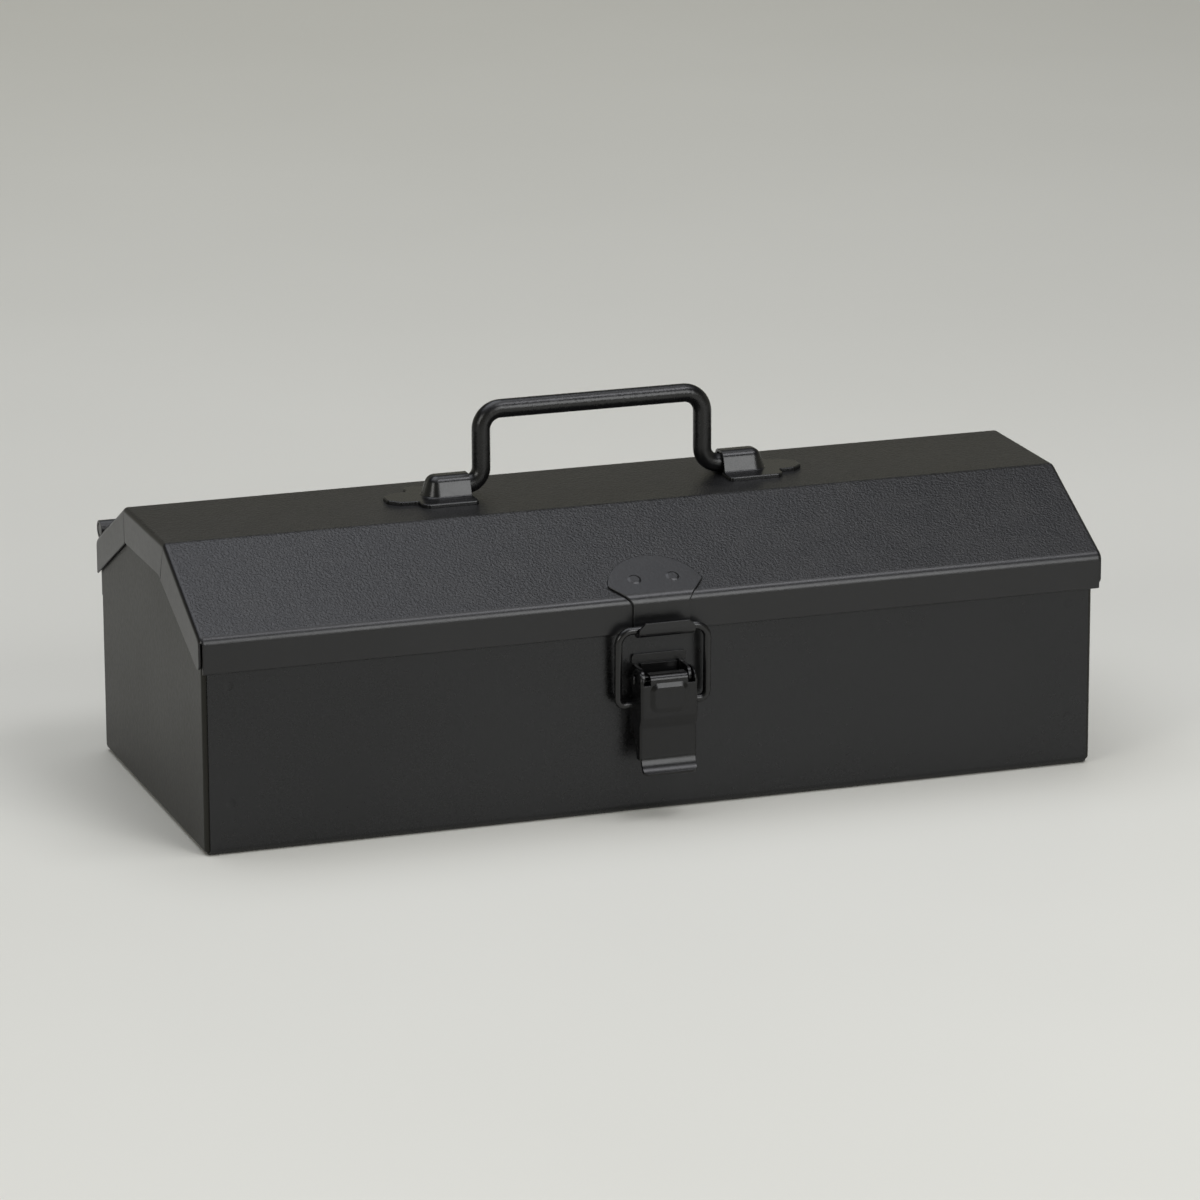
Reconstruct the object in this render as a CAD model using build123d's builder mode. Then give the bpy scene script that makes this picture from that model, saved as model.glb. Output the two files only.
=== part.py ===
from build123d import *
import os
from math import atan, cos, hypot, radians, sin, tan

# Camber-top steel tool box. Millimetres.
# Origin: centre of the underside of the box, on the surface it stands on.
# +X runs along the box to its right end, the front with the latch faces -Y, +Z is up.

os.makedirs("parts", exist_ok=True)

# ---- box -------------------------------------------------------------------
sheet = 0.8
box_length = 356.0
box_depth = 148.0
front_wall_height = 82.8
rear_wall_height = 83.2
corner_setback = 1.8
bottom_bend = 3.0
end_flange_depth = 12.0
end_bend = 1.7
end_roof_gap = 2.0
hem_height = 9.0
hem_length = 324.0
weld_x = 168.0
weld_heights = (20.0, 65.4)
weld_radius = 10.0
weld_depth = 0.2

# ---- lid -------------------------------------------------------------------
lid_length = 360.6
lid_offset_x = 1.0
lip_bottom_z = 70.6
lip_y = -75.5
lip_rim = 0.65
fold_z = 84.0
roof_front_y = -26.2
roof_rear_y = 31.3
roof_z = 108.6
eave_y = 76.0
eave_z = 84.8
sheet_rear_y = 73.4
fold_radius = 4.3
lid_end_bend = 1.9
flange_line = [(eave_y, 70.7), (30.6, 94.6), (-18.6, 94.8), (lip_y + 1.3, 70.8)]
flange_front_y = lip_y + 1.3
flange_corner_radius = 2.4
flange_rim = 0.3
lip_half_length = 179.0
tab_corner_z = 82.8
seam_width = 0.4
seam_top_z = 106.4
seam_bottom_z = 92.6
rear_seam_y = 30.6
front_seam_y = -21.2
clearance_cut = 5.0

# ---- hinge -----------------------------------------------------------------
leaf_thickness = 1.0
barrel_radius = 3.6
hinge_pin_radius = 2.5
hinge_running_gap = 0.05
hinge_half_length = 177.4
knuckle_count = 13
knuckle_gap = 0.3
knuckle_relief = 0.6
body_leaf_height = 22.0
lid_leaf_width = 14.0

# ---- handle and its brackets -----------------------------------------------
handle_x = 0.7
handle_y = 4.0
handle_axis_z = 112.95
handle_rod_radius = 3.6
handle_half_span = 45.1
handle_rise = 28.9
handle_foot_bend = 6.4
handle_grip_bend = 7.8
handle_foot_end = 62.0
bracket_x = 1.3
bracket_sheet = 1.5
bracket_rim = 0.5
dome_start = 51.6
dome_end = 69.6
dome_height = 7.75
dome_crown_sheet = 1.1
dome_half_width = 6.6
dome_draft = 18.0
dome_corner = 5.6
dome_crown_radius = 3.8
dome_root_radius = 0.8
dome_overrun = 8.0
bracket_half_width = 14.7
bracket_shoulder_x = 71.4
bracket_shoulder_half_width = 12.2
bracket_neck_x = 73.4
bracket_neck_half_width = 7.8
bracket_tip = 84.4
bracket_tip_half_width = 3.0

# ---- latch -----------------------------------------------------------------
latch_x = 0.0
base_sheet = 1.2
pivot_y = -80.0
pivot_z = 54.0
pivot_pin_radius = 1.2
pivot_running_gap = 0.05
pin_head_radius = 1.9
base_half_width = 10.9
base_bottom_z = 31.0
base_top_z = 62.4
tab_width = 14.6
tab_height = 9.2
tab_slit = 0.6
ear_outer = 9.9
ear_reach = 4.2
ear_round = 4.0
lever_sheet = 1.2
lever_half_width = 11.45
lever_face_y = -87.0
lever_step = 1.5
lever_top_z = 58.0
lever_shoulder_z = 53.0
lever_flange_reach = 4.0
channel_bottom_z = 23.6
step_top_z = 40.3
step_bottom_z = 36.2
lever_rim_radius = 1.1
lip_top_z = 25.4
lip_curl_radius = 7.0
lip_curl = 62.0
lip_half_width = 10.75
lip_corner = 2.0
tongue_half_width = 7.4
pad_z = 48.0
pad_width = 15.4
pad_height = 11.6
pad_slope = 1.7
pad_rise = 0.8
pad_round = 1.2
pad_corner = 3.4
bail_wire_radius = 1.5
bail_half_width = 17.75
bail_pivot = (-78.8, 44.0)
bail_top = (-79.7, 73.1)
bail_running_gap = 0.05
keeper_x = 0.7
keeper_sheet = 1.0
keeper_rim = 0.35
keeper_half_width = 11.2
hook_front_y = -83.4
hook_bottom_z = 70.2
hook_top_z = 76.3
hook_corner_cut = 2.4
fan_reach = 23.1
fan_wing_x = 18.9
fan_wing_up = 7.6
fan_wing_round = 1.0
fan_neck_up = -1.6
keeper_blank = 22.0
bump_x = 7.6
bump_up = 10.0
bump_radius = 2.6
bump_height = 0.3
bump_taper = 70.0

# ---- derived values --------------------------------------------------------
front_y = -box_depth / 2
rear_y = box_depth / 2
end_x = box_length / 2
main_sheet_half = end_x - corner_setback
lid_end = lid_length / 2
front_slope = (roof_z - fold_z) / (roof_front_y - lip_y)
rear_slope = (roof_z - eave_z) / (eave_y - roof_rear_y)
front_pitch = atan(front_slope)
rear_pitch = atan(rear_slope)
rear_normal = (sin(rear_pitch), cos(rear_pitch))
axis_y = rear_y + barrel_radius
axis_z = eave_z + (eave_y - axis_y) * rear_slope + barrel_radius / cos(rear_pitch)
knuckle_pitch = 2 * hinge_half_length / knuckle_count
side_x = Plane.YZ


def finish(part, name):
    """Labels a finished piece and writes its STEP file."""
    part.label = name
    export_step(part, f"parts/{name}.step")


def edges_at(part, x, tolerance=0.05):
    """Edges that lie wholly in the plane at this X."""
    return part.edges().filter_by_position(Axis.X, x - tolerance, x + tolerance)


# ---- body shell: front wall, floor and rear wall folded from one sheet ------
with BuildPart() as body_shell:
    with BuildSketch(side_x.offset(-main_sheet_half)):
        with BuildLine():
            FilletPolyline(
                (front_y, front_wall_height),
                (front_y, 0),
                (rear_y, 0),
                (rear_y, rear_wall_height),
                radius=bottom_bend,
            )
            offset(amount=sheet, side=Side.LEFT)
        make_face()
    extrude(amount=2 * main_sheet_half)
    # the top edges of both walls are hemmed inwards
    for wall_y, top, inward in ((front_y, front_wall_height, 1), (rear_y, rear_wall_height, -1)):
        with BuildSketch(side_x.offset(-hem_length / 2)):
            with BuildLine():
                Polyline(
                    (wall_y + inward * sheet, top),
                    (wall_y + inward * 2 * sheet, top - sheet / 2),
                    (wall_y + inward * 2 * sheet, top - hem_height),
                    (wall_y + inward * sheet, top - hem_height),
                    close=True,
                )
            make_face()
        extrude(amount=hem_length)
    # spot welds that hold the end plates leave shallow dents
    for wall_y, outward in ((front_y, -1), (rear_y, 1)):
        centre_y = wall_y + outward * (weld_radius - weld_depth)
        with Locations(*[(x, centre_y, z) for x in (-weld_x, weld_x) for z in weld_heights]):
            Sphere(weld_radius, mode=Mode.SUBTRACT)
finish(body_shell.part, "body_shell")

# ---- end plates: gabled trays whose flanges stand inside the sheet ----------
flange_y = rear_y - sheet
gable_front_z = fold_z + (-flange_y - lip_y) * front_slope - end_roof_gap
for side, name in ((-1, "end_plate_left"), (1, "end_plate_right")):
    gable = [
        (-flange_y, sheet),
        (-flange_y, gable_front_z),
        (roof_front_y, roof_z - end_roof_gap),
        (roof_rear_y, roof_z - end_roof_gap),
        (flange_y, rear_wall_height),
        (flange_y, sheet),
    ]
    with BuildPart() as end_plate:
        with BuildSketch(side_x.offset(side * (end_x - end_flange_depth))):
            with BuildLine():
                Polyline(*gable, close=True)
            make_face()
        extrude(amount=side * end_flange_depth)
        floor_edges = end_plate.edges().filter_by(Axis.X).group_by(Axis.Z)[0]
        fillet(floor_edges, bottom_bend - sheet)
        outer_edges = edges_at(end_plate, side * end_x)
        fillet(outer_edges.filter_by(lambda e: e.center().Z < lip_bottom_z), end_bend)
        with BuildSketch(side_x.offset(side * (end_x - end_flange_depth - 1))):
            with BuildLine():
                FilletPolyline(
                    (-flange_y + sheet, roof_z + 10),
                    (-flange_y + sheet, 2 * sheet),
                    (flange_y - sheet, 2 * sheet),
                    (flange_y - sheet, roof_z + 10),
                    radius=bottom_bend - 2 * sheet,
                )
                Line((flange_y - sheet, roof_z + 10), (-flange_y + sheet, roof_z + 10))
            make_face()
        extrude(amount=side * (end_flange_depth + 1 - sheet), mode=Mode.SUBTRACT)
    finish(end_plate.part, name)


def roof_height(y):
    """Height of the camber roof above the ground at this Y."""
    return min(roof_z, fold_z + (y - lip_y) * front_slope, eave_z + (eave_y - y) * rear_slope)


# ---- lid shell: lip, camber roof and end flanges folded from one sheet ------
roof_outline = [
    (lip_y, lip_bottom_z),
    (lip_y, fold_z),
    (roof_front_y, roof_z),
    (roof_rear_y, roof_z),
    (eave_y, eave_z),
]
with BuildPart() as lid_shell:
    with BuildSketch(side_x.offset(lid_offset_x - lid_end)):
        with BuildLine():
            FilletPolyline(*roof_outline, (eave_y, lip_bottom_z), radius=fold_radius)
            Line((eave_y, lip_bottom_z), (lip_y, lip_bottom_z))
        make_face()
    extrude(amount=lid_length)
    for end in (-lid_end, lid_end):
        end_edges = edges_at(lid_shell, lid_offset_x + end)
        roof_edges = end_edges.filter_by(lambda e: e.center().Z > fold_z - fold_radius)
        fillet(roof_edges.filter_by(lambda e: e.center().Y < sheet_rear_y), lid_end_bend)
    # hollow: one sheet thickness inside, open below and along the rear
    with BuildSketch(side_x.offset(lid_offset_x - lid_end + sheet)):
        with BuildLine():
            inside = FilletPolyline(
                (lip_y + sheet, lip_bottom_z - clearance_cut),
                (lip_y + sheet, fold_z + sheet * front_slope - sheet / cos(front_pitch)),
                (roof_front_y + sheet * tan(front_pitch / 2), roof_z - sheet),
                (roof_rear_y - sheet * tan(rear_pitch / 2), roof_z - sheet),
                (eave_y + clearance_cut, eave_z - sheet / cos(rear_pitch) - clearance_cut * rear_slope),
                radius=fold_radius - sheet,
            )
            Polyline(inside @ 1, (eave_y + clearance_cut, lip_bottom_z - clearance_cut), inside @ 0)
        make_face()
    extrude(amount=lid_length - 2 * sheet, mode=Mode.SUBTRACT)
    # the rear edge of the roof stops short of the hinge leaf on the rear wall
    with Locations((lid_offset_x, sheet_rear_y, eave_z)):
        Box(2 * (end_x + 0.6), 10, 12, align=(Align.CENTER, Align.MIN, Align.CENTER), mode=Mode.SUBTRACT)
    # the lip and the end flanges are separate tabs with open corners
    for side in (-1, 1):
        with BuildSketch(side_x.offset(lid_offset_x + side * lip_half_length)):
            with BuildLine():
                Polyline(
                    *flange_line,
                    (flange_front_y, tab_corner_z),
                    (lip_y - clearance_cut, tab_corner_z),
                    (lip_y - clearance_cut, lip_bottom_z - clearance_cut),
                    (eave_y + clearance_cut, lip_bottom_z - clearance_cut),
                    (eave_y + clearance_cut, flange_line[0][1]),
                    close=True,
                )
            make_face()
        extrude(amount=side * clearance_cut, mode=Mode.SUBTRACT)
    flange_edges = lid_shell.edges().filter_by(Axis.X)
    flange_edges = flange_edges.filter_by(lambda e: abs(e.center().X - lid_offset_x) > lid_end - sheet)
    flange_corners = flange_edges.filter_by(lambda e: e.center().Z < lip_bottom_z + flange_corner_radius)
    fillet(flange_corners, flange_corner_radius)
    # the lower edge of the lip is rounded on its front side
    fillet(lid_shell.edges().filter_by(Axis.X).group_by(Axis.Z)[0].sort_by(Axis.Y)[0], lip_rim)
    # the lower edges of the flanges are rounded
    for side in (-1, 1):
        end_edges = edges_at(lid_shell, lid_offset_x + side * lid_end)
        fillet([e for e in end_edges if roof_height(e.center().Y) - e.center().Z > 6], flange_rim)
    for side in (-1, 1):
        # mitre seams between the three flange tabs
        for top_y, bottom_y in ((roof_rear_y, rear_seam_y), (roof_front_y, front_seam_y)):
            with BuildSketch(side_x.offset(lid_offset_x + side * (lid_end - sheet - seam_width / 2))):
                with BuildLine():
                    Polyline(
                        (top_y - seam_width / 4, seam_top_z),
                        (top_y + seam_width / 4, seam_top_z),
                        (bottom_y + seam_width, seam_bottom_z),
                        (bottom_y - seam_width / 2, seam_bottom_z),
                        close=True,
                    )
                make_face()
            extrude(amount=side * 2 * sheet, mode=Mode.SUBTRACT)
finish(lid_shell.part, "lid_shell")

# ---- full-length hinge: two leaves with alternating knuckles on one pin ------
roof_direction = (-cos(rear_pitch), sin(rear_pitch))
leaf_foot = (axis_y - rear_normal[0] * barrel_radius, axis_z - rear_normal[1] * barrel_radius)


def on_roof(along, above):
    """Point on the rear slope: along it from the foot of the hinge axis, and above it."""
    return (
        leaf_foot[0] + roof_direction[0] * along + rear_normal[0] * above,
        leaf_foot[1] + roof_direction[1] * along + rear_normal[1] * above,
    )


strip_start = barrel_radius + knuckle_relief
body_strip_top = axis_z - strip_start
body_strip_bottom = axis_z - barrel_radius - body_leaf_height
body_strip = [
    (rear_y, body_strip_top),
    (rear_y, body_strip_bottom),
    (rear_y + leaf_thickness, body_strip_bottom),
    (rear_y + leaf_thickness, body_strip_top),
]
body_arm = [
    (rear_y, axis_z),
    (rear_y, body_strip_top),
    (rear_y + leaf_thickness, body_strip_top),
    (rear_y + leaf_thickness, axis_z),
]
lid_strip = [
    on_roof(strip_start, 0),
    on_roof(lid_leaf_width, 0),
    on_roof(lid_leaf_width, leaf_thickness),
    on_roof(strip_start, leaf_thickness),
]
lid_arm = [
    on_roof(0, 0),
    on_roof(strip_start, 0),
    on_roof(strip_start, leaf_thickness),
    on_roof(0, leaf_thickness),
]

leaves = (
    ("hinge_leaf_body", body_strip, body_arm, 0, 0.0),
    ("hinge_leaf_lid", lid_strip, lid_arm, 1, hinge_running_gap),
)
for name, strip, arm, first_knuckle, bore_gap in leaves:
    with BuildPart() as leaf:
        with BuildSketch(side_x.offset(-hinge_half_length)):
            with BuildLine():
                Polyline(*strip, close=True)
            make_face()
        extrude(amount=2 * hinge_half_length)
        for index in range(first_knuckle, knuckle_count, 2):
            start = -hinge_half_length + index * knuckle_pitch + knuckle_gap / 2
            with BuildSketch(side_x.offset(start)):
                with Locations((axis_y, axis_z)):
                    Circle(barrel_radius)
                with BuildLine():
                    Polyline(*arm, close=True)
                make_face()
                with Locations((axis_y, axis_z)):
                    Circle(hinge_pin_radius + bore_gap, mode=Mode.SUBTRACT)
            extrude(amount=knuckle_pitch - knuckle_gap)
    finish(leaf.part, name)

with BuildPart() as hinge_pin:
    with BuildSketch(side_x.offset(-hinge_half_length + 0.3)):
        with Locations((axis_y, axis_z)):
            Circle(hinge_pin_radius)
    extrude(amount=2 * hinge_half_length - 0.6)
    chamfer(hinge_pin.edges().filter_by(GeomType.CIRCLE), 0.3)
finish(hinge_pin.part, "hinge_pin")

# ---- handle brackets: stamped plates with a dome over each handle foot -------
bracket_top = roof_z + bracket_sheet
draft = radians(dome_draft)
wall_inset = bracket_sheet * (1 / cos(draft) - tan(draft))
hollow_height = dome_height + bracket_sheet - dome_crown_sheet
plate_half = [
    (dome_start - bracket_rim - 0.2, -bracket_half_width),
    (bracket_shoulder_x, -bracket_half_width),
    (bracket_neck_x, -bracket_shoulder_half_width),
    (bracket_neck_x, -bracket_neck_half_width),
    (bracket_tip - 4.0, -bracket_neck_half_width + 0.8),
    (bracket_tip, -bracket_tip_half_width),
]
plate_outline = plate_half + [(x, -y) for x, y in reversed(plate_half)]


def level_edges(part, z):
    """Edges that lie wholly at this height."""
    return part.edges().filter_by_position(Axis.Z, z - 0.02, z + 0.02)


for side, name in ((-1, "handle_bracket_left"), (1, "handle_bracket_right")):
    open_x = bracket_x + side * dome_start
    inward = Align.MAX if side > 0 else Align.MIN
    outward = Align.MIN if side > 0 else Align.MAX
    with BuildPart() as bracket:
        with BuildSketch(Plane.XY.offset(roof_z)) as plate:
            with BuildLine():
                Polyline(*[(bracket_x + side * x, handle_y + y) for x, y in plate_outline], close=True)
            make_face()
            fillet(plate.vertices(), 1.6)
        extrude(amount=bracket_sheet)
        fillet(bracket.faces().sort_by(Axis.Z)[-1].edges(), bracket_rim)
        # drafted dome, cut square at its open end
        with BuildSketch(Plane.XY.offset(bracket_top)) as foot:
            with Locations((open_x - side * dome_overrun, handle_y)):
                Rectangle(
                    dome_end - dome_start + dome_overrun,
                    2 * dome_half_width,
                    align=(outward, Align.CENTER),
                )
            fillet(foot.vertices().sort_by(Axis.X, reverse=side > 0)[:2], dome_corner)
        extrude(amount=dome_height, taper=dome_draft)
        fillet(level_edges(bracket, bracket_top + dome_height), dome_crown_radius)
        with Locations((open_x, handle_y, bracket_top)):
            Box(20, 30, 30, align=(inward, Align.CENTER, Align.MIN), mode=Mode.SUBTRACT)
        root_edges = level_edges(bracket, bracket_top).filter_by(
            lambda e: abs(e.center().Y - handle_y) < dome_half_width + 0.1
            and dome_start + 0.5 < abs(e.center().X - bracket_x) < dome_end + 0.1
        )
        fillet(root_edges, dome_root_radius)
        # hollow for the foot, one sheet thickness inside the dome
        with BuildSketch(Plane.XY.offset(roof_z)) as hollow:
            with Locations((open_x - side * dome_overrun, handle_y)):
                Rectangle(
                    dome_end - dome_start + dome_overrun - wall_inset,
                    2 * (dome_half_width - wall_inset),
                    align=(outward, Align.CENTER),
                )
            fillet(hollow.vertices().sort_by(Axis.X, reverse=side > 0)[:2], dome_corner - bracket_sheet)
        extrude(amount=hollow_height, taper=dome_draft, mode=Mode.SUBTRACT)
        hollow_edges = level_edges(bracket, roof_z + hollow_height)
        hollow_edges = hollow_edges.filter_by(lambda e: abs(e.center().X - open_x) > 0.2)
        fillet(hollow_edges, dome_crown_radius - bracket_sheet)
    finish(bracket.part, name)

# ---- handle: one bent rod whose feet turn out into the brackets --------------
with BuildPart() as handle:
    with BuildLine():
        FilletPolyline(
            (handle_x - handle_foot_end, handle_y, handle_axis_z),
            (handle_x - handle_half_span, handle_y, handle_axis_z),
            (handle_x - handle_half_span, handle_y, handle_axis_z + handle_rise),
            (handle_x + handle_half_span, handle_y, handle_axis_z + handle_rise),
            (handle_x + handle_half_span, handle_y, handle_axis_z),
            (handle_x + handle_foot_end, handle_y, handle_axis_z),
            radius=[handle_foot_bend, handle_grip_bend, handle_grip_bend, handle_foot_bend],
        )
    with BuildSketch(Plane.YZ.offset(handle_x - handle_foot_end)):
        with Locations((handle_y, handle_axis_z)):
            Circle(handle_rod_radius)
    sweep()
    chamfer(handle.edges().filter_by(GeomType.CIRCLE).group_by(Axis.X)[0], 0.6)
    chamfer(handle.edges().filter_by(GeomType.CIRCLE).group_by(Axis.X)[-1], 0.6)
finish(handle.part, "handle")

# ---- keeper: fan plate on the roof that folds over the lip into a hook -------
roof_plane = Plane(
    origin=(keeper_x, lip_y, fold_z),
    x_dir=(1, 0, 0),
    z_dir=(0, -sin(front_pitch), cos(front_pitch)),
)
hook_radius = (lip_y - hook_front_y) / 2
hook_centre = (lip_y - hook_radius, hook_bottom_z + hook_radius)
fan_blank = fan_reach + 3
fan_right = [
    (fan_wing_x, fan_wing_up),
    (keeper_half_width, fan_neck_up),
    (keeper_half_width, -keeper_blank),
]
fan_left = [(-x, up) for x, up in reversed(fan_right)]
with BuildPart() as keeper:
    with BuildSketch(side_x.offset(keeper_x - keeper_blank)):
        with BuildLine():
            FilletPolyline(
                (lip_y + fan_blank * cos(front_pitch), fold_z + fan_blank * sin(front_pitch)),
                (lip_y, fold_z),
                (lip_y, hook_centre[1]),
                radius=fold_radius,
            )
            ThreePointArc(
                (lip_y, hook_centre[1]),
                (hook_centre[0], hook_bottom_z),
                (hook_front_y, hook_centre[1]),
            )
            Line((hook_front_y, hook_centre[1]), (hook_front_y, hook_top_z))
            offset(amount=keeper_sheet, side=Side.RIGHT)
        make_face()
    extrude(amount=2 * keeper_blank)
    with BuildSketch(roof_plane.offset(-keeper_blank)) as fan:
        with BuildLine():
            ThreePointArc(fan_left[-1], (0, fan_reach), fan_right[0])
            Polyline(*fan_right, *fan_left)
        make_face()
        fillet(fan.vertices().filter_by(lambda v: abs(v.X) > keeper_half_width + 1), fan_wing_round)
    extrude(amount=2 * keeper_blank, mode=Mode.INTERSECT)
    top_edges = keeper.edges().filter_by(
        lambda e: abs(roof_plane.to_local_coords(e.center()).Z - keeper_sheet) < 0.01
    )
    fillet(top_edges.filter_by(lambda e: abs(e.tangent_at(0.5).X) < 0.999 or e.length > 30), keeper_rim)
    # two low weld bumps on the fan, and a hook with cut corners
    with BuildSketch(roof_plane.offset(keeper_sheet)):
        with Locations((-bump_x, bump_up), (bump_x, bump_up)):
            Circle(bump_radius)
    extrude(amount=bump_height, taper=bump_taper)
    hook_ends = keeper.edges().filter_by_position(Axis.Z, hook_top_z - 0.1, hook_top_z + 0.1)
    chamfer(hook_ends.filter_by(Axis.Y), hook_corner_cut)
finish(keeper.part, "keeper")

# ---- latch base: plate on the front wall with two forward ears ---------------
front_plane = Plane(origin=(latch_x, front_y, 0), x_dir=(1, 0, 0), z_dir=(0, -1, 0))
ear_front_y = pivot_y - ear_reach
with BuildPart() as latch_base:
    with BuildSketch(front_plane):
        with Locations((0, (base_bottom_z + base_top_z) / 2)):
            RectangleRounded(2 * base_half_width, base_top_z - base_bottom_z, 1.2)
        # side notches where the ears are folded forward, and a slit round the tab between them
        with Locations(*[(side * (ear_outer + 1), pivot_z - 1) for side in (-1, 1)]):
            Rectangle(2, 12, mode=Mode.SUBTRACT)
        tab_foot = (0, pivot_z - tab_height / 2)
        foot_centre = (Align.CENTER, Align.MIN)
        with Locations(tab_foot):
            Rectangle(
                tab_width + 2 * tab_slit,
                tab_height + tab_slit,
                align=foot_centre,
                mode=Mode.SUBTRACT,
            )
            Rectangle(tab_width, tab_height, align=foot_centre)
    extrude(amount=base_sheet)
    for side in (-1, 1):
        with BuildSketch(side_x.offset(latch_x + side * ear_outer)) as ear:
            with BuildLine():
                Polyline(
                    (front_y, pivot_z + ear_reach),
                    (ear_front_y, pivot_z + ear_reach),
                    (ear_front_y, pivot_z - ear_reach),
                    (front_y, pivot_z - ear_reach),
                    close=True,
                )
            make_face()
            fillet(ear.vertices().sort_by(Axis.X)[:2], ear_round)
            with Locations((pivot_y, pivot_z)):
                Circle(pivot_pin_radius, mode=Mode.SUBTRACT)
        extrude(amount=-side * base_sheet)
finish(latch_base.part, "latch_base")

# ---- latch pivot pin: headed both ends ---------------------------------------
with BuildPart() as latch_pivot_pin:
    shank_half = lever_half_width + 0.3
    with BuildSketch(side_x.offset(latch_x - shank_half)):
        with Locations((pivot_y, pivot_z)):
            Circle(pivot_pin_radius)
    extrude(amount=2 * shank_half)
    for side in (-1, 1):
        with BuildSketch(side_x.offset(latch_x + side * shank_half)):
            with Locations((pivot_y, pivot_z)):
                Circle(pin_head_radius)
        extrude(amount=side * 0.9)
    fillet(edges_at(latch_pivot_pin, latch_x - shank_half - 0.9), 0.6)
    fillet(edges_at(latch_pivot_pin, latch_x + shank_half + 0.9), 0.6)
finish(latch_pivot_pin.part, "latch_pivot_pin")

# ---- lever: pressed channel with a thumb lip, a raised pad and a curled tongue
lower_face_y = lever_face_y + lever_step
flange_back_y = pivot_y + lever_flange_reach
with BuildPart() as latch_lever:
    with BuildSketch(side_x.offset(latch_x - lever_half_width)) as channel:
        with BuildLine():
            Polyline(
                (lever_face_y, lever_top_z),
                (lever_face_y, step_top_z),
                (lower_face_y, step_bottom_z),
                (lower_face_y, channel_bottom_z),
                (lower_face_y + 3.2, channel_bottom_z),
                (flange_back_y, 40.5),
                (flange_back_y, lever_top_z),
                close=True,
            )
        make_face()
        fillet(channel.vertices().sort_by(Axis.Y)[-2:].sort_by(Axis.X)[0], 4.6)
        fillet(channel.vertices().sort_by(Axis.X)[-2:].sort_by(Axis.Y)[-1], lever_flange_reach - 0.1)
        step_corners = channel.vertices().filter_by_position(Axis.Y, step_bottom_z - 1, step_top_z + 0.1)
        fillet(step_corners, 2.5)
    extrude(amount=2 * lever_half_width)
    rim = [e for x in (-1, 1) for e in edges_at(latch_lever, latch_x + x * lever_half_width)]
    front_rim = [e for e in rim if e.center().Y < lower_face_y + 1.3]
    fillet([e for e in front_rim if e.center().Z > channel_bottom_z + 0.5], lever_rim_radius)
    with BuildSketch(side_x.offset(latch_x - lever_half_width + lever_sheet)):
        with BuildLine():
            Polyline(
                (lever_face_y + lever_sheet, lever_top_z + 3),
                (lever_face_y + lever_sheet, step_top_z - 0.2),
                (lower_face_y + lever_sheet, step_bottom_z - 0.2),
                (lower_face_y + lever_sheet, channel_bottom_z - 1),
                (flange_back_y + 2, channel_bottom_z - 1),
                (flange_back_y + 2, lever_top_z + 3),
                close=True,
            )
        make_face()
    extrude(amount=2 * (lever_half_width - lever_sheet), mode=Mode.SUBTRACT)
    # corner notches either side of the tongue
    with Locations((latch_x, (lever_face_y + flange_back_y) / 2, lever_shoulder_z)):
        Box(
            2 * (lever_half_width - lever_sheet),
            20,
            10,
            align=(Align.CENTER, Align.CENTER, Align.MIN),
            mode=Mode.SUBTRACT,
        )
    # tongue that curls back over the pin, and the flared thumb lip
    with BuildSketch(side_x.offset(latch_x - tongue_half_width)):
        with BuildLine():
            FilletPolyline(
                (lever_face_y, lever_shoulder_z - 1),
                (lever_face_y, lever_top_z - 1.1),
                (pivot_y - 2.0, lever_top_z - 1.1),
                radius=2.4,
            )
            offset(amount=lever_sheet, side=Side.RIGHT)
        make_face()
    extrude(amount=2 * tongue_half_width)
    with BuildSketch(side_x.offset(latch_x - lip_half_width)):
        with BuildLine():
            Line((lower_face_y, lip_top_z + 2), (lower_face_y, lip_top_z))
            CenterArc((lower_face_y - lip_curl_radius, lip_top_z), lip_curl_radius, 0, -lip_curl)
            offset(amount=lever_sheet, side=Side.LEFT)
        make_face()
    extrude(amount=2 * lip_half_width)
    lip_end = latch_lever.faces().sort_by(Axis.Z)[0]
    fillet(lip_end.edges().filter_by(lambda e: abs(e.tangent_at(0.5).X) < 0.1), lip_corner)
    # raised pad
    pad_plane = Plane(origin=(latch_x, lever_face_y, pad_z), x_dir=(1, 0, 0), z_dir=(0, -1, 0))
    with BuildSketch(pad_plane):
        RectangleRounded(pad_width, pad_height, pad_corner)
    with BuildSketch(pad_plane.offset(pad_rise)):
        RectangleRounded(
            pad_width - 2 * pad_slope,
            pad_height - 2 * pad_slope,
            pad_corner - pad_slope,
        )
    loft()
    pad_front_y = lever_face_y - pad_rise
    pad_edges = latch_lever.edges().filter_by_position(Axis.Y, pad_front_y - 0.01, pad_front_y + 0.01)
    fillet(pad_edges, pad_round)
    for y, z, radius in (
        (pivot_y, pivot_z, pivot_pin_radius + pivot_running_gap),
        (*bail_pivot, bail_wire_radius + bail_running_gap),
    ):
        with Locations((latch_x, y, z)):
            Cylinder(radius, 2 * lever_half_width + 1, rotation=(0, 90, 0), mode=Mode.SUBTRACT)
finish(latch_lever.part, "latch_lever")

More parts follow.
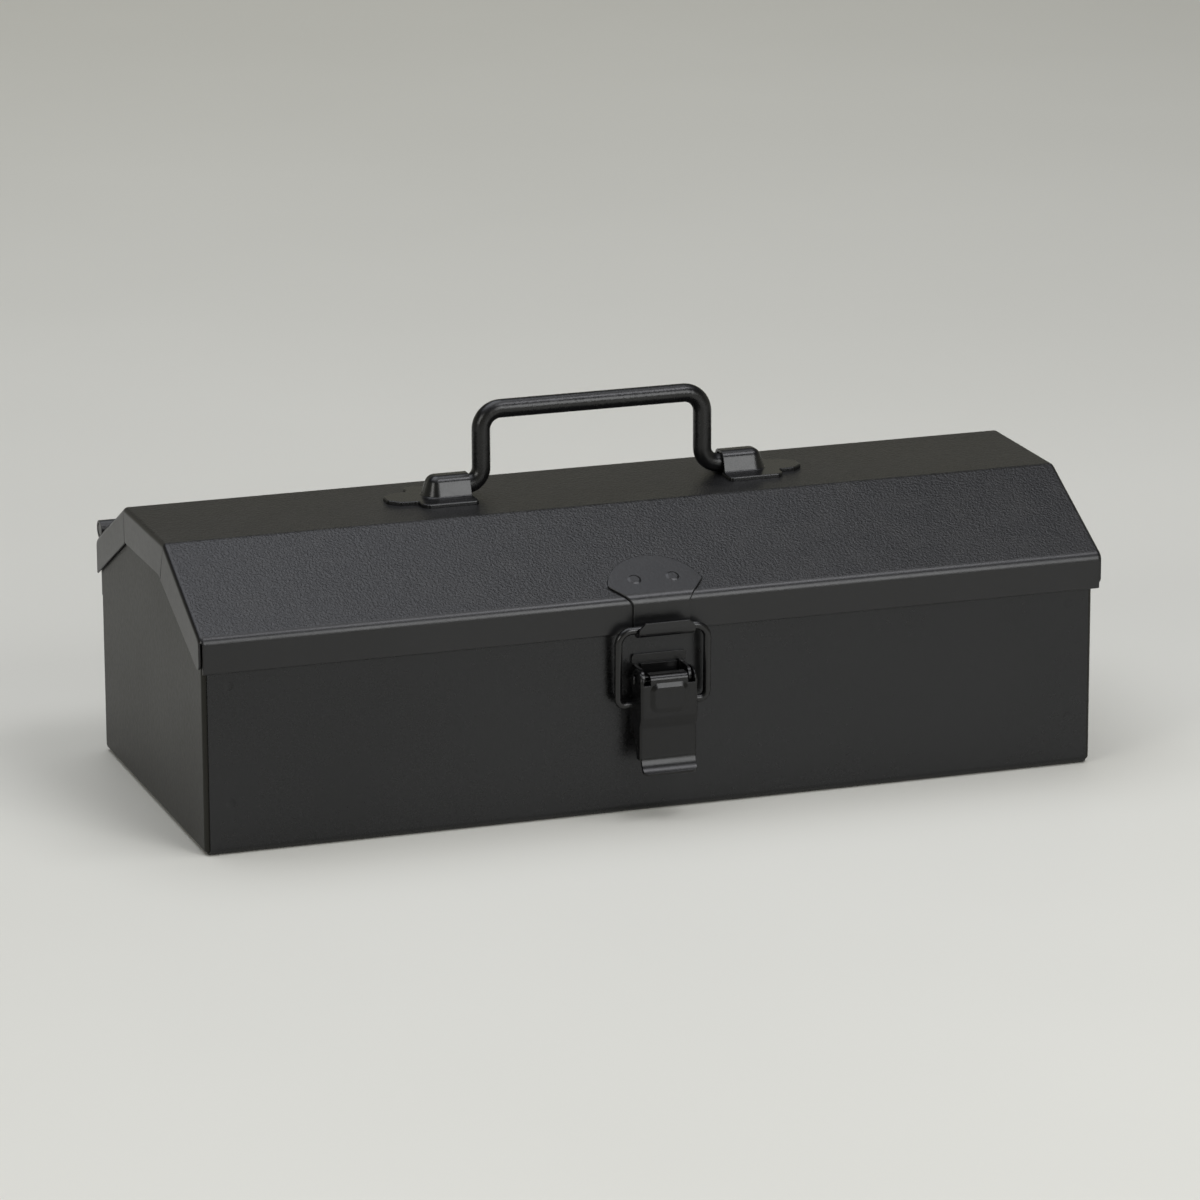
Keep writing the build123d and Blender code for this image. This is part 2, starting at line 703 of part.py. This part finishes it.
# ---- bail: wire loop from the lever up into the keeper's hook ----------------
bail_rise = hypot(bail_top[0] - bail_pivot[0], bail_top[1] - bail_pivot[1])
bail_plane = Plane(
    origin=(latch_x, *bail_pivot),
    x_dir=(1, 0, 0),
    z_dir=(0, -(bail_top[1] - bail_pivot[1]), bail_top[0] - bail_pivot[0]),
)
bail_foot = lever_half_width - lever_sheet - 0.4
with BuildPart() as latch_bail:
    with BuildLine(bail_plane):
        FilletPolyline(
            (-bail_foot, 0),
            (-bail_half_width, 0),
            (-bail_half_width, bail_rise),
            (bail_half_width, bail_rise),
            (bail_half_width, 0),
            (bail_foot, 0),
            radius=[3.0, 5.3, 5.3, 3.0],
        )
    with BuildSketch(side_x.offset(latch_x - bail_foot)):
        with Locations(bail_pivot):
            Circle(bail_wire_radius)
    sweep()
finish(latch_bail.part, "latch_bail")
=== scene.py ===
from math import cos, radians, sin

import bpy
from mathutils import Matrix, Vector


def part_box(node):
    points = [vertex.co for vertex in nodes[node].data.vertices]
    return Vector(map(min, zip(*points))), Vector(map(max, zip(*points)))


# Looks of the camber-top steel tool box: black powder coat over folded sheet, in a plain pale studio.
# Metres, in the CAD frame: +X to the box's right end, the front with the latch faces -Y, +Z up.

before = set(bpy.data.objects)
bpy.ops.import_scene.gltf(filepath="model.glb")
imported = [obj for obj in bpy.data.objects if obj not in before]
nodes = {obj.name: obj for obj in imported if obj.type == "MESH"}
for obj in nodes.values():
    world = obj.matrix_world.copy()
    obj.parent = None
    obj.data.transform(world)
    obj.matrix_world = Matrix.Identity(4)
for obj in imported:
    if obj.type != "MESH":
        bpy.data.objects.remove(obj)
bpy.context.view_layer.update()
scene = bpy.context.scene

box_low, box_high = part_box("body_shell")
MM = 0.001


# ---- node helpers ------------------------------------------------------------
class Graph:
    """A material's node tree, with short calls for the nodes used here."""

    def __init__(self, name):
        self.material = bpy.data.materials.new(name)
        self.material.use_nodes = True
        self.tree = self.material.node_tree
        self.tree.nodes.clear()
        self.output = self.add("ShaderNodeOutputMaterial")
        self.place = self.add("ShaderNodeTexCoord").outputs["Object"]

    def add(self, kind, **settings):
        node = self.tree.nodes.new(kind)
        for key, value in settings.items():
            setattr(node, key, value)
        return node

    def feed(self, socket, value):
        """Links a socket to another node's output, or sets its plain value."""
        if isinstance(value, bpy.types.NodeSocket):
            self.tree.links.new(value, socket)
        else:
            socket.default_value = value

    def noise(self, feature, detail, roughness=0.5, distortion=0.0):
        """Noise from 0 to 1 whose blobs are about `feature` metres across."""
        mapping = self.add("ShaderNodeMapping")
        self.feed(mapping.inputs["Vector"], self.place)
        mapping.inputs["Scale"].default_value = [1 / feature] * 3
        texture = self.add("ShaderNodeTexNoise")
        self.feed(texture.inputs["Vector"], mapping.outputs["Vector"])
        texture.inputs["Scale"].default_value = 1.0
        texture.inputs["Detail"].default_value = detail
        texture.inputs["Roughness"].default_value = roughness
        texture.inputs["Distortion"].default_value = distortion
        return texture.outputs["Fac"]

    def span(self, value, low, high, to_low=0.0, to_high=1.0, smooth=False):
        """Maps the range low..high to to_low..to_high, and holds it there."""
        node = self.add("ShaderNodeMapRange")
        if smooth:
            node.interpolation_type = "SMOOTHSTEP"
        self.feed(node.inputs["Value"], value)
        node.inputs["From Min"].default_value = low
        node.inputs["From Max"].default_value = high
        node.inputs["To Min"].default_value = to_low
        node.inputs["To Max"].default_value = to_high
        return node.outputs["Result"]

    def math(self, operation, first, second):
        """Works out one sum, product or difference of two values."""
        node = self.add("ShaderNodeMath", operation=operation)
        self.feed(node.inputs[0], first)
        self.feed(node.inputs[1], second)
        return node.outputs["Value"]

    def blend(self, share, first, second):
        """Mixes two colours by a share from 0 to 1."""
        node = self.add("ShaderNodeMix", data_type="RGBA")
        self.feed(node.inputs["Factor"], share)
        self.feed(node.inputs["A"], first)
        self.feed(node.inputs["B"], second)
        return node.outputs["Result"]

    def bump(self, height, depth, normal):
        """Raises the surface by `depth` metres where height is 1, on top of the relief in `normal`."""
        node = self.add("ShaderNodeBump")
        node.inputs["Distance"].default_value = depth
        self.feed(node.inputs["Height"], height)
        self.feed(node.inputs["Normal"], normal)
        return node.outputs["Normal"]

    def rounded(self, radius):
        """The surface's direction with its edges rounded over to `radius`."""
        node = self.add("ShaderNodeBevel", samples=6)
        node.inputs["Radius"].default_value = radius
        return node.outputs["Normal"]

    def edges(self, rounded_normal):
        """1 along edges, where the rounded direction turns away from the true one, and 0 on flats."""
        flat_agreement, edge_agreement = 0.995, 0.88
        compare = self.add("ShaderNodeVectorMath", operation="DOT_PRODUCT")
        self.feed(compare.inputs[0], rounded_normal)
        self.feed(compare.inputs[1], self.add("ShaderNodeNewGeometry").outputs["Normal"])
        return self.span(compare.outputs["Value"], flat_agreement, edge_agreement)

    def upward(self):
        """1 on faces that look straight up, 0 on upright ones."""
        split = self.add("ShaderNodeSeparateXYZ")
        self.feed(split.inputs["Vector"], self.add("ShaderNodeNewGeometry").outputs["Normal"])
        return split.outputs["Z"]


# ---- powder coat ---------------------------------------------------------------
# sizes of the patterns that all the coats share
drift_size = 90 * MM
mottle_size = 2.2 * MM
speck_size = 0.45 * MM
edge_patches_size = 7 * MM
dust_size = 14 * MM
wave_size = 70 * MM
wave_depth = 0.10 * MM
edge_radius = 0.25 * MM
# how strongly mottle, the painted edge highlight and dust change the colour
mottle_share = 0.35
edge_highlight_share = 0.45
dust_share = 0.12
dust_colour = (0.20, 0.19, 0.17, 1.0)
# what drift adds and takes, what dust adds, and what the edges with painted highlight take, in
# roughness
drift_gloss = 0.025
dust_gloss = 0.10
edge_highlight_gloss = 0.08
# upward() where dust starts, and where the lid's orange peel starts and is full
dust_start = 0.55
peel_start, peel_full = 0.80, 0.88


def powder_coat(
    name,
    tone,
    gloss,
    grain,
    grain_depth,
    dust=0.3,
    shine=0.45,
    cast=(1, 1, 1, 1),
    tooth=0.006 * MM,
    on_top=False,
):
    """Satin black powder coat. Tone is its dark colour, gloss the shader's roughness,
    grain the size of the orange peel and grain_depth its relief, dust how much dust lies on
    faces that look up, shine the strength of the reflections, cast their tint, and tooth the
    relief of the powder's own grains. With on_top, only faces that look up have orange peel."""
    g = Graph(name)
    # colour: slow drift over the sheet, fine mottle of the powder, and paler edges in patches as a
    # painted highlight
    drift = g.noise(drift_size, detail=3.0)
    mottle = g.noise(mottle_size, detail=4.0, roughness=0.62)
    speck = g.noise(speck_size, detail=1.0)
    lighter = [c * 1.6 + 0.001 for c in tone] + [1.0]
    darker = [c * 0.7 for c in tone] + [1.0]
    colour = g.blend(g.span(drift, 0.3, 0.7), darker, lighter)
    colour = g.blend(g.math("MULTIPLY", g.span(mottle, 0.35, 0.75), mottle_share), colour, lighter)
    rounded = g.rounded(edge_radius)
    edge = g.edges(rounded)
    edge_patches = g.noise(edge_patches_size, detail=5.0, roughness=0.7)
    # painted highlight: the edges turn paler in patches, standing in for the bright lines that light
    # draws along them
    edge_highlight = g.math("MULTIPLY", edge, g.span(edge_patches, 0.38, 0.66))
    highlight_colour = [c * 1.6 + 0.002 for c in tone] + [1.0]
    colour = g.blend(g.math("MULTIPLY", edge_highlight, edge_highlight_share), colour, highlight_colour)
    # a trace of dust lies on faces that look up
    settled = g.span(g.upward(), dust_start, 1.0)
    patches = g.noise(dust_size, detail=6.0, roughness=0.72)
    settled = g.math("MULTIPLY", settled, g.span(patches, 0.45, 0.8))
    dusty = g.math("MULTIPLY", settled, dust)
    colour = g.blend(g.math("MULTIPLY", dusty, dust_share), colour, dust_colour)

    rough = g.span(mottle, 0.3, 0.75, gloss - 0.02, gloss + 0.03)
    rough = g.math("ADD", rough, g.span(drift, 0.3, 0.7, -drift_gloss, drift_gloss))
    rough = g.math("ADD", rough, g.math("MULTIPLY", dusty, dust_gloss))
    rough = g.math("SUBTRACT", rough, g.math("MULTIPLY", edge_highlight, edge_highlight_gloss))

    # relief: slow waviness of rolled sheet, orange peel, and the powder's own fine tooth
    normal = g.bump(g.noise(wave_size, detail=0.0), wave_depth, rounded)
    peel = g.noise(grain, detail=2.5, roughness=0.55, distortion=0.35)
    peel = g.span(peel, 0.28, 0.72, -0.5, 0.5, smooth=True)
    if on_top:
        peel = g.math("MULTIPLY", peel, g.span(g.upward(), peel_start, peel_full))
    normal = g.bump(peel, grain_depth, normal)
    normal = g.bump(speck, tooth, normal)

    shader = g.add("ShaderNodeBsdfPrincipled")
    shader.inputs["Specular IOR Level"].default_value = shine
    shader.inputs["Specular Tint"].default_value = cast
    g.feed(shader.inputs["Base Color"], colour)
    g.feed(shader.inputs["Roughness"], rough)
    g.feed(shader.inputs["Normal"], normal)
    g.feed(g.output.inputs["Surface"], shader.outputs["BSDF"])
    return g.material


# ---- finishes, one for each kind of part ---------------------------------------
plain_black = (0.0030, 0.0030, 0.0032)
coats = {
    "wall_coat": dict(
        tone=(0.0032, 0.0032, 0.0034),
        gloss=0.28,
        grain=1.5 * MM,
        grain_depth=0.016 * MM,
        shine=0.42,
        cast=(0.97, 0.98, 1, 1),
    ),
    "end_coat": dict(
        tone=(0.0040, 0.0038, 0.0034),
        gloss=0.40,
        grain=1.6 * MM,
        grain_depth=0.022 * MM,
        shine=0.30,
        cast=(1, 0.99, 0.88, 1),
    ),
    "lid_coat": dict(
        tone=(0.0032, 0.0032, 0.0037),
        gloss=0.31,
        grain=0.95 * MM,
        grain_depth=0.105 * MM,
        dust=0.5,
        shine=0.455,
        tooth=0.010 * MM,
        on_top=True,
    ),
    "hinge_coat": dict(
        tone=(0.0040, 0.0040, 0.0040),
        gloss=0.34,
        grain=1.2 * MM,
        grain_depth=0.010 * MM,
    ),
    "pin_coat": dict(
        tone=(0.0050, 0.0050, 0.0050),
        gloss=0.30,
        grain=0.8 * MM,
        grain_depth=0.006 * MM,
    ),
    "bracket_coat": dict(
        tone=(0.0032, 0.0033, 0.0036),
        gloss=0.25,
        grain=1.3 * MM,
        grain_depth=0.006 * MM,
        tooth=0.002 * MM,
    ),
    "rod_coat": dict(
        tone=plain_black,
        gloss=0.28,
        grain=1.1 * MM,
        grain_depth=0.026 * MM,
        dust=0.1,
        shine=0.43,
    ),
    "keeper_coat": dict(
        tone=(0.0032, 0.0032, 0.0036),
        gloss=0.30,
        grain=1.2 * MM,
        grain_depth=0.014 * MM,
    ),
    "latch_coat": dict(
        tone=plain_black,
        gloss=0.24,
        grain=1.0 * MM,
        grain_depth=0.005 * MM,
        shine=0.34,
        tooth=0.002 * MM,
    ),
    "wire_coat": dict(
        tone=plain_black,
        gloss=0.24,
        grain=0.8 * MM,
        grain_depth=0.004 * MM,
        dust=0.1,
    ),
}
finishes = {name: powder_coat(name, **coat) for name, coat in coats.items()}
finish_of = {
    "body_shell": "wall_coat",
    "end_plate_left": "end_coat",
    "end_plate_right": "end_coat",
    "lid_shell": "lid_coat",
    "hinge_leaf_body": "hinge_coat",
    "hinge_leaf_lid": "hinge_coat",
    "hinge_pin": "pin_coat",
    "handle_bracket_left": "bracket_coat",
    "handle_bracket_right": "bracket_coat",
    "handle": "rod_coat",
    "keeper": "keeper_coat",
    "latch_base": "latch_coat",
    "latch_pivot_pin": "latch_coat",
    "latch_lever": "latch_coat",
    "latch_bail": "wire_coat",
}
for node_name, finish_name in finish_of.items():
    for slot in nodes[node_name].material_slots:
        slot.link = "OBJECT"
        slot.material = finishes[finish_name]

# ---- studio --------------------------------------------------------------------
floor_reach = 9.0
paper_size = 0.4
paper_dark = (0.705, 0.699, 0.645, 1)
paper_light = (0.730, 0.724, 0.670, 1)
floor_mesh = bpy.data.meshes.new("floor")
floor_mesh.from_pydata(
    [(x * floor_reach, y * floor_reach, 0) for x, y in ((-1, -1), (1, -1), (1, 1), (-1, 1))],
    [],
    [(0, 1, 2, 3)],
)
floor = bpy.data.objects.new("floor", floor_mesh)
scene.collection.objects.link(floor)
floor_finish = Graph("floor_paper")
floor_shader = floor_finish.add("ShaderNodeBsdfPrincipled")
paper = floor_finish.span(floor_finish.noise(paper_size, detail=3.0), 0.3, 0.7)
floor_finish.feed(floor_shader.inputs["Base Color"], floor_finish.blend(paper, paper_dark, paper_light))
floor_shader.inputs["Roughness"].default_value = 0.5
floor_shader.inputs["Specular IOR Level"].default_value = 0.3
floor_finish.feed(floor_finish.output.inputs["Surface"], floor_shader.outputs["BSDF"])
floor_mesh.materials.append(floor_finish.material)


def softbox(name, place, aim, width, height, watts, tint):
    """A rectangular diffused light at `place`, facing `aim`."""
    data = bpy.data.lights.new(name, "AREA")
    data.shape = "RECTANGLE"
    data.size = width
    data.size_y = height
    data.energy = watts
    data.color = tint
    lamp = bpy.data.objects.new(name, data)
    lamp.location = place
    lamp.rotation_euler = (Vector(aim) - Vector(place)).to_track_quat("-Z", "Y").to_euler()
    scene.collection.objects.link(lamp)


centre = (box_low + box_high) / 2
floor_behind = (0.2, 3.4, 0.0)
softbox(
    "front_window",
    place=(0.62, -1.65, 0.86),
    aim=centre,
    width=0.85,
    height=0.95,
    watts=13.8,
    tint=(0.99, 1.0, 1.01),
)
softbox(
    "overhead",
    place=(-0.25, 0.38, 1.55),
    aim=centre,
    width=1.5,
    height=1.0,
    watts=7.7,
    tint=(0.89, 0.92, 1.0),
)
softbox(
    "front_top",
    place=(0.45, -0.50, 1.45),
    aim=centre,
    width=0.9,
    height=0.32,
    watts=5.2,
    tint=(0.95, 0.95, 1.0),
)
softbox(
    "left_fill",
    place=(-1.50, -0.90, 0.75),
    aim=centre,
    width=0.7,
    height=0.7,
    watts=6.5,
    tint=(1.0, 0.99, 0.96),
)
softbox(
    "back_wash",
    place=(0.2, 1.5, 1.6),
    aim=floor_behind,
    width=1.6,
    height=0.8,
    watts=4.5,
    tint=(1.0, 0.99, 0.85),
)

# the studio air is warm near the horizon, dark above it and bright overhead
world = bpy.data.worlds.new("studio_air")
scene.world = world
world.use_nodes = True
sky = world.node_tree.nodes["Background"]
direction = world.node_tree.nodes.new("ShaderNodeTexCoord")
height = world.node_tree.nodes.new("ShaderNodeSeparateXYZ")
ramp = world.node_tree.nodes.new("ShaderNodeValToRGB")
world.node_tree.links.new(direction.outputs["Generated"], height.inputs["Vector"])
world.node_tree.links.new(height.outputs["Z"], ramp.inputs["Fac"])
world.node_tree.links.new(ramp.outputs["Color"], sky.inputs["Color"])
horizon_shade = (0.275, 0.268, 0.226, 1)
overhead_shade = (1.10, 1.10, 1.10, 1)
stops = ramp.color_ramp.elements
stops[0].color = horizon_shade
stops[1].color = overhead_shade
for rise, shade in (
    (0.28, (0.290, 0.282, 0.232, 1)),
    (0.45, (0.080, 0.080, 0.078, 1)),
    (0.70, (0.100, 0.101, 0.103, 1)),
    (0.88, (0.620, 0.625, 0.650, 1)),
):
    stops.new(rise).color = shade

# ---- camera --------------------------------------------------------------------
camera_place = Vector((-0.75523, -2.21424, 0.71401))
camera_lens = 187.717
heading = radians(18.8856)
tilt = radians(15.5474)
roll = radians(-0.2347)
forward = Vector((sin(heading) * cos(tilt), cos(heading) * cos(tilt), -sin(tilt)))
level_right = Vector((cos(heading), -sin(heading), 0))
level_up = level_right.cross(forward)
right = level_right * cos(roll) + level_up * sin(roll)
up = level_up * cos(roll) - level_right * sin(roll)
camera_data = bpy.data.cameras.new("camera")
camera_data.sensor_width = 36
camera_data.lens = camera_lens
camera_data.clip_start = 0.05
camera_data.clip_end = 50
camera = bpy.data.objects.new("camera", camera_data)
camera.matrix_world = Matrix.Translation(camera_place) @ Matrix(
    (
        (right.x, up.x, -forward.x),
        (right.y, up.y, -forward.y),
        (right.z, up.z, -forward.z),
    )
).to_4x4()
scene.collection.objects.link(camera)
scene.camera = camera
scene.view_settings.view_transform = "Standard"
